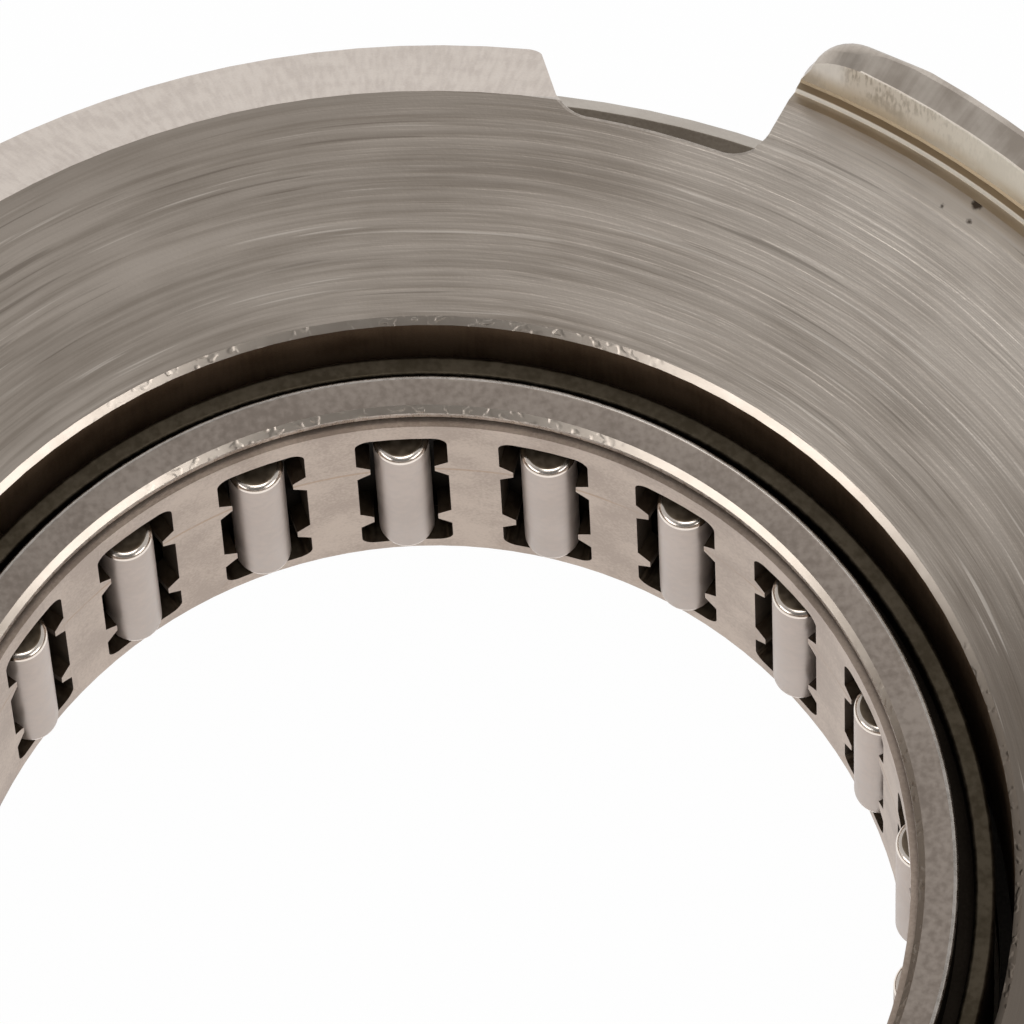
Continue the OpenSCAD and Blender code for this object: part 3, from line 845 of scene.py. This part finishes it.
def lug_cutter(side):
    """What lies past a lug's end: its outline from above, extruded up over a round nose."""
    along = Vector((math.cos(lug_lean), side * math.sin(lug_lean), 0))
    inward = Vector((-math.sin(lug_lean), side * math.cos(lug_lean), 0))
    base = Vector((notch_r, side * notch_half, 0))
    half_b = base.dot(along)
    run = -half_b + math.sqrt(half_b ** 2 - base.length_squared + rim_r ** 2)
    foot = base + along * run + Vector((0, 0, face_top))
    out = Vector((foot.x, foot.y, 0)).normalized()
    levels = nose_levels(inward, out)
    corner = foot + levels[0]
    past = corner + Vector((-out.y, out.x, 0)) * side * waste
    outline = [corner - along * waste, corner, past, past + out * waste,
               corner + (out - inward) * waste, corner - (along + inward) * waste]
    cutter = walk("lug_cutter", outline + outline[:1])
    round_corner(cutter, corner, end_corner, corner_segments)
    bpy.ops.mesh.edge_face_add()
    for start, end in zip(levels, levels[1:]):
        bpy.ops.mesh.extrude_region_move(TRANSFORM_OT_translate={"value": (end - start) * MM})
    bpy.ops.mesh.select_all(action="SELECT")
    bpy.ops.mesh.normals_make_consistent(inside=False)
    bpy.ops.object.mode_set(mode="OBJECT")
    return cutter


print("cutter ready: corner radius %.1f mm" % end_corner)

# %% [markdown]
# ### Chosen edges of the plate
# A bevel over the whole plate would be held back by its smallest faces, so
# only two kinds of edge are broken: the upper edges of the notch floors and
# the inner upper edges of the lips. They are found by their height and radius.

# %% Plate: which edges are broken, and how
face_r, lip_in_r = 44.3, 49.3
lip_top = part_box("thrust_plate")[1].z / MM
floor_edge, lip_edge = 0.22, 0.1
floor_in, floor_out = 0.1, 1.2
level_gap, radius_gap = 0.01, 0.03


def on_floor_edge(ends):
    """Whether an edge is the upper edge of a notch floor, and not the turned face's rim."""
    return all(abs(end.z - face_top) < level_gap
               and notch_r - floor_in < end.xy.length < notch_r + floor_out for end in ends
               ) and not all(abs(end.xy.length - face_r) < radius_gap for end in ends)


def on_lip_edge(ends):
    """Whether an edge is the inner upper edge of a lip."""
    return all(abs(end.z - lip_top) < level_gap
               and abs(end.xy.length - lip_in_r) < radius_gap for end in ends)


def break_edges(piece, wanted, width_mm):
    """Bevels the edges of a piece whose two ends, in mm, are wanted."""
    only(piece)
    bpy.ops.object.mode_set(mode="EDIT")
    bpy.ops.mesh.select_mode(type="EDGE")
    bpy.ops.mesh.select_all(action="DESELECT")
    bpy.ops.object.mode_set(mode="OBJECT")
    count = 0
    for edge in piece.data.edges:
        edge.select = wanted([piece.data.vertices[i].co / MM for i in edge.vertices])
        count += edge.select
    bpy.ops.object.mode_set(mode="EDIT")
    bpy.ops.mesh.bevel(offset=width_mm * MM, segments=2, affect="EDGES")
    bpy.ops.object.mode_set(mode="OBJECT")
    print("broke %d edges by %.2f mm" % (count, width_mm))


print("lip top: %.2f mm" % lip_top)

# %% Plate: break its edges and cut its noses
notch_count, notch_at = 6, 70.2


def shape_plate(piece):
    """Breaks the notch floors' and the lips' upper edges, then cuts the lips' ends round."""
    break_edges(piece, on_floor_edge, floor_edge)
    break_edges(piece, on_lip_edge, lip_edge)
    for i in range(notch_count):
        cutter = lug_cutter(-1 if i % 2 == 0 else 1)
        cutter.data.transform(
            Matrix.Rotation(math.radians(notch_at + i * 360 / notch_count), 4, "Z"))
        nose = piece.modifiers.new("nose", "BOOLEAN")
        nose.operation, nose.solver, nose.object = "DIFFERENCE", "EXACT", cutter
        apply_all(piece)
        bpy.data.objects.remove(cutter)


plate = softened("thrust_plate", "plate_ring", shape=shape_plate, smooth_to=20)

# %% [markdown]
# ### The plate's faces
# Each face gets its finish by where it is and which way it looks. Painting
# them by hand would be lost with each change of the CAD, but a rule is not.

# %% Plate: a finish for each face
bore_edge_r, bore_wall_r, edge_deep = 31.02 + 0.5, 31.4, 0.5
groove_in_r, groove_out_r, groove_over = 47.6, 49.15, 0.1
floor_in_r, floor_out_r, floor_deep = notch_r - 0.4, 45.2, 0.4
wall_from_r, crest_to_r, bevel_from_r = 48.9, 49.5, 44.2
nose_over, land_over, face_gap = 0.3, 3, 0.06
flat_up = 0.97


def plate_finish(radius, height, up, out):
    """Which finish a face of the plate has."""
    if radius < bore_edge_r and height > face_top - edge_deep and up < flat_up:
        return "edge"
    if radius < bore_wall_r and up < 0.5:
        return "bore"
    if up > flat_up and abs(height - face_top) < face_gap:
        return "turned"
    if up > flat_up and height > face_top + land_over:
        return "land"
    if groove_in_r < radius < groove_out_r and face_top - edge_deep < height < face_top + groove_over:
        return "root"
    if floor_in_r < radius < floor_out_r and height > face_top - floor_deep and 0.2 < up < flat_up:
        return "ground"
    if out < -0.8 and radius > wall_from_r and height > face_top:
        return "straw"
    if height > face_top + nose_over and up > 0.1:
        return "crest" if radius < crest_to_r and out < -0.25 else "land"
    if 0.4 < up < 0.7 and out > 0.7 and radius > bevel_from_r and height < face_top:
        return "bevel"
    if abs(up) < 0.05 or up < -0.9:
        return "ground"
    return "worn"


dress(plate, {"turned": turned_face, "bevel": bevel_face, "land": lip_land, "edge": edge_break,
              "bore": bore_wall, "root": lip_root, "straw": straw_wall,
              "ground": ground_steel, "worn": wear_and_highlight_edge, "crest": lip_crest_highlight}, plate_finish)
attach(plate, "plate")
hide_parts("thrust_plate")

# %% [markdown]
# ## The lower race
# The race is the L of the bearing: a flat washer with a collar that holds the needle cup. Little of
# it can be seen, so a softened copy of its solid is enough. Its rim is bright; its top and the
# collar's end are painted darker as shade, and the slot between collar and cup is painted near black
# as shadow.

# %% Race
race_rim_r, collar_foot, slot_foot = 50, 3, 5
race = softened("lower_race", "race_body", 0.08)


def race_finish(radius, height, up, out):
    """Which finish a face of the race has."""
    if radius > race_rim_r and abs(up) < flat_up:
        return "rim"
    # Faces in the slot get the painted shadow.
    if out < -0.9 and height > slot_foot:
        return "slot"
    return "collar" if height > collar_foot else "top"


dress(race, {"collar": collar_end_shade, "rim": rim_steel, "slot": slot_shadow, "top": race_top_shade},
      race_finish)
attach(race, "lower_side")
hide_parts("lower_race")

# %% [markdown]
# ## The drawn cup
# A drawn cup is one sheet: a wall, a neck and two lips turned in. Its section
# is walked corner by corner with extrude, the two corners that the drawing
# die rounds are bevelled, and the section is spun once round the shaft axis.

# %% Cup: walk the section and round it
cup_wall, raceway_r, cup_lip_r, lip_break = 0.85, 28.03, 25.95, 0.35
neck_r, neck_in_r, neck_foot, neck_wall = 28.05, 27.25, 16.4, 0.8
cup_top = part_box("needle_cup")[1].z / MM
cup_out_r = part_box("needle_cup")[1].x / MM
section = [
    (cup_lip_r + lip_break, 0), (cup_out_r, 0), (cup_out_r, neck_foot), (neck_r, neck_foot),
    (neck_r, cup_top), (cup_lip_r + lip_break, cup_top), (cup_lip_r, cup_top - lip_break),
    (cup_lip_r, cup_top - cup_wall), (neck_in_r, cup_top - cup_wall),
    (neck_in_r, neck_foot - neck_wall), (raceway_r, neck_foot - neck_wall),
    (raceway_r, cup_wall), (cup_lip_r, cup_wall), (cup_lip_r, lip_break),
    (cup_lip_r + lip_break, 0)]
section = [Vector((radius, 0, height)) for radius, height in section]
die_rounds, die_segments = {1: 0.85, 4: 0.35}, 7
cup = walk("cup_shell", section)
for corner, round_mm in die_rounds.items():
    round_corner(cup, section[corner], round_mm, die_segments)
print("cup section: %d corners" % (len(section) - 1))

# %% Cup: spin the section
cup_turns = 256
bpy.ops.mesh.spin(steps=cup_turns, angle=2 * math.pi, center=(0, 0, 0), axis=(0, 0, 1))
bpy.ops.mesh.select_all(action="SELECT")
bpy.ops.mesh.remove_doubles(threshold=weld_mm * MM)
bpy.ops.mesh.normals_make_consistent(inside=False)
bpy.ops.object.mode_set(mode="OBJECT")
only(cup)
bpy.ops.object.shade_smooth_by_angle(angle=math.radians(30))
print("cup: %d faces" % len(cup.data.polygons))

# %% Cup: a finish for each face
slot_in_r, slot_out_r, slot_low, slot_high = 27.5, 29, 14, 19.6
inner_wall_r, lip_edge_r = 26.8, 26.4


def cup_finish(radius, height, up, out):
    """Which finish a face of the cup has."""
    # Faces in the slot get the painted shadow.
    in_slot = slot_in_r < radius < slot_out_r and slot_low < height < slot_high
    if in_slot or out < -0.5 and radius > inner_wall_r:
        return "slot"
    if abs(up) > flat_up:
        return "lip"
    if radius < lip_edge_r and abs(up) > 0.2:
        return "edge"
    return "round"


dress(cup, {"lip": cup_lip, "edge": edge_break, "round": cup_round, "slot": slot_shadow}, cup_finish)
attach(cup, "lower_side")
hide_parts("needle_cup")

# %% [markdown]
# ## The two cages
# The needle cage shows its bars, pockets and retaining nibs; the roller cage
# lies hidden under the plate and only its rim can be seen from the side. Both
# are softened copies. The needle cage's pocket walls are in shade, so they get
# a darker finish than its faces.

# %% Needle cage
cage_low, cage_high = 1.5, 18.5
needle_cage = softened("needle_cage", "cage_ring", 0.08)


def cage_finish(radius, height, up, out):
    """Which finish a face of the needle cage has."""
    on_end = abs(up) > 0.9 and (height < cage_low or height > cage_high)
    return "face" if abs(out) > 0.5 or on_end else "wall"


dress(needle_cage, {"face": cage_face, "wall": pocket_wall}, cage_finish)
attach(needle_cage, "needle_set")
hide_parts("needle_cage")

# %% Roller cage
roller_cage = softened("thrust_cage", "roller_web", 0.1)
dress(roller_cage, {"pressed": pressed_steel}, lambda radius, height, up, out: "pressed")
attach(roller_cage, "roller_set")
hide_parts("thrust_cage")

# %% [markdown]
# ## Needles and rollers
# A roller is ground all over and its ends are rounded. One is modelled from a
# cylinder whose end edges are bevelled, then copied to every place that the
# CAD gives, each copy with its own mesh.

# %% A helper for rollers
roller_sides = 64


def roller(name, diameter_mm, length_mm, round_mm, segments):
    """A roller along Z about the origin, with rounded ends."""
    bpy.ops.object.select_all(action="DESELECT")
    bpy.ops.mesh.primitive_cylinder_add(vertices=roller_sides, radius=diameter_mm / 2 * MM,
                                        depth=length_mm * MM, end_fill_type="NGON")
    made = bpy.context.object
    made.name = name
    bpy.ops.object.mode_set(mode="EDIT")
    bpy.ops.mesh.select_mode(type="EDGE")
    bpy.ops.mesh.select_all(action="DESELECT")
    bpy.ops.object.mode_set(mode="OBJECT")
    half = length_mm / 2 * MM
    for edge in made.data.edges:
        ends = [made.data.vertices[i].co.z for i in edge.vertices]
        edge.select = abs(ends[0] - ends[1]) < 1e-7 and abs(abs(ends[0]) - half) < 1e-6
    bpy.ops.object.mode_set(mode="EDIT")
    bpy.ops.mesh.bevel(offset=round_mm * MM, segments=segments, affect="EDGES")
    bpy.ops.mesh.select_all(action="SELECT")
    bpy.ops.mesh.normals_make_consistent(inside=False)
    bpy.ops.object.mode_set(mode="OBJECT")
    only(made)
    bpy.ops.object.shade_smooth_by_angle(angle=math.radians(40))
    # Rounds get the painted highlight, flat ends the painted dark reflection.
    for finish in (roller_face, roller_end_dark_reflection, roller_round_highlight):
        made.data.materials.append(finish)
    for face in made.data.polygons:
        tilt = abs(face.normal.z)
        face.material_index = 1 if tilt > flat_up else 2 if tilt > 0.1 else 0
    print("roller %s: %d faces" % (name, len(made.data.polygons)))
    return made


print("roller helper ready")

# %% A helper that copies a roller to its places
def set_rollers(master, node_start, along_axis):
    """Copies a roller to each CAD node whose name starts so."""
    count = 0
    for node in sorted(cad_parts):
        if node.startswith(node_start) and node[len(node_start):].isdigit():
            low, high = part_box(node)
            middle = (low + high) / 2
            turn = Matrix.Identity(4)
            if not along_axis:
                lean = math.atan2(middle.y, middle.x)
                turn = Matrix.Rotation(lean, 4, "Z") @ Matrix.Rotation(math.pi / 2, 4, "Y")
            piece = bpy.data.objects.new(node + "_ground", master.data.copy())
            scene.collection.objects.link(piece)
            piece.data.transform(Matrix.Translation(middle) @ turn)
            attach(piece, node)
            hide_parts(node)
            count += 1
    bpy.data.objects.remove(master)
    print("set %d of %s" % (count, node_start))


print("copying helper ready")

# %% Needles and rollers in place
needle = roller("needle_master", diameter_mm=3.0, length_mm=12.7, round_mm=0.42, segments=6)
set_rollers(needle, "needle_", True)
thrust_roller = roller("roller_master", diameter_mm=4.0, length_mm=9.0, round_mm=0.35, segments=4)
set_rollers(thrust_roller, "thrust_roller_", False)
